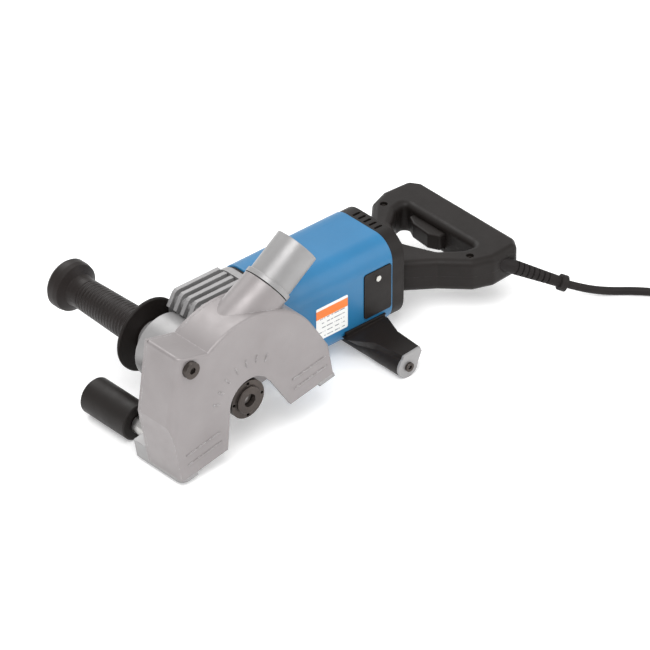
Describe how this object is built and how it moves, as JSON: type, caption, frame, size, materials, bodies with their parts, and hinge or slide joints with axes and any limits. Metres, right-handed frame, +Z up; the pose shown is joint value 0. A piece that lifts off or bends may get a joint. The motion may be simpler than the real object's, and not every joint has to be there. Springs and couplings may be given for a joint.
{
  "type": "wall chaser",
  "caption": "Hand-held electric wall chaser: gear head, turning cast blade cover with dust nozzle and base shoe, front roller, side grip, rear D-handle and mains lead.",
  "frame": {"origin": "where the motor axis meets the spindle axis", "axes": "+X back along the motor to the D-handle, +Z up, blade cover on the -Y side"},
  "size_m": [0.6325, 0.531, 0.2116],
  "materials": {
    "cast_silver": "satin cast metal",
    "blue_shell": "fine-grained moulding",
    "black_nylon": "fine-grained moulding",
    "black_rubber": "matt",
    "steel": "turned",
    "dark_steel": "blackened",
    "core_steel": "laminated",
    "copper": "enamelled wire",
    "carbon": "pressed carbon",
    "plate": "printed film",
    "brass": "plain"
  },
  "bodies": {
    "machine": {"gear_housing": "cast_silver", "bearing_box": "cast_silver", "bearing_box_screws": "steel", "spindle_outer_bearing": "steel", "spindle_inner_bearing": "steel", "air_baffle": "black_nylon", "motor_housing": "blue_shell", "side_panels": "black_nylon", "panel_screws": "steel", "rating_plate": "plate", "field_core": "core_steel", "field_coils": "copper", "front_bearing_plate": "cast_silver", "front_motor_bearing": "steel", "rear_motor_bearing": "steel", "brush_holders": "brass", "carbon_brushes": "carbon", "rear_cover": "black_nylon", "rear_foot": "black_nylon", "foot_plate": "cast_silver", "foot_screw": "dark_steel", "side_grip": "black_nylon", "guard_disc": "black_nylon", "grip_stud": "steel", "handle_top": "black_nylon", "handle_bottom": "black_nylon", "handle_screws": "dark_steel", "switch_body": "black_nylon", "cord_sleeve": "black_rubber", "cord_tube": "black_rubber", "cord_coil": "black_rubber", "plug_body": "black_rubber", "plug_pins": "brass"},
    "armature": {"armature_shaft": "steel", "armature_core": "core_steel", "armature_windings": "copper", "commutator": "copper", "cooling_fan": "black_nylon", "bevel_pinion": "dark_steel"},
    "spindle_unit": {"spindle": "steel", "bevel_gear": "dark_steel", "inner_flange": "dark_steel", "spacer_rings": "steel", "lock_nut": "dark_steel"},
    "cover": {"blade_cover": "cast_silver", "cover_back": "cast_silver", "dust_nozzle": "cast_silver", "cover_bolt": "dark_steel", "clamp_band": "steel", "base_shoe": "cast_silver", "roller_axle": "steel"},
    "roller": {"front_roller": "black_nylon"},
    "trigger": {"trigger": "black_nylon"},
    "lock_button": {"lock_button": "black_nylon"},
    "shaft_lock": {"shaft_lock_button": "dark_steel"}
  },
  "joints": [
    {"name": "cover_turn", "type": "hinge", "parent": "machine", "child": "cover", "pos_m": [0, 0, 0], "axis": [0, 1, 0], "range_deg": [-6, 11]},
    {"name": "roller_spin", "type": "hinge", "parent": "cover", "child": "roller", "pos_m": [-0.066, 0, -0.0425], "axis": [0, 1, 0], "continuous": true},
    {"name": "armature_spin", "type": "hinge", "parent": "machine", "child": "armature", "pos_m": [0, 0, 0], "axis": [1, 0, 0], "continuous": true},
    {"name": "spindle_spin", "type": "hinge", "parent": "machine", "child": "spindle_unit", "pos_m": [0, 0, 0], "axis": [0, 1, 0], "continuous": true},
    {"name": "trigger_pull", "type": "slide", "parent": "machine", "child": "trigger", "axis": [1, 0, 0], "range_m": [0, 0.006], "stiffness_N_per_m": 500},
    {"name": "lock_button_push", "type": "slide", "parent": "machine", "child": "lock_button", "axis": [-1, 0, 0], "range_m": [0, 0.003], "stiffness_N_per_m": 400},
    {"name": "shaft_lock_push", "type": "slide", "parent": "machine", "child": "shaft_lock", "axis": [1, 0, 0], "range_m": [0, 0.0015], "stiffness_N_per_m": 400}
  ],
  "couplings": [
    {"joint": "spindle_spin", "follows": "armature_spin", "ratio": 0.31579}
  ]
}
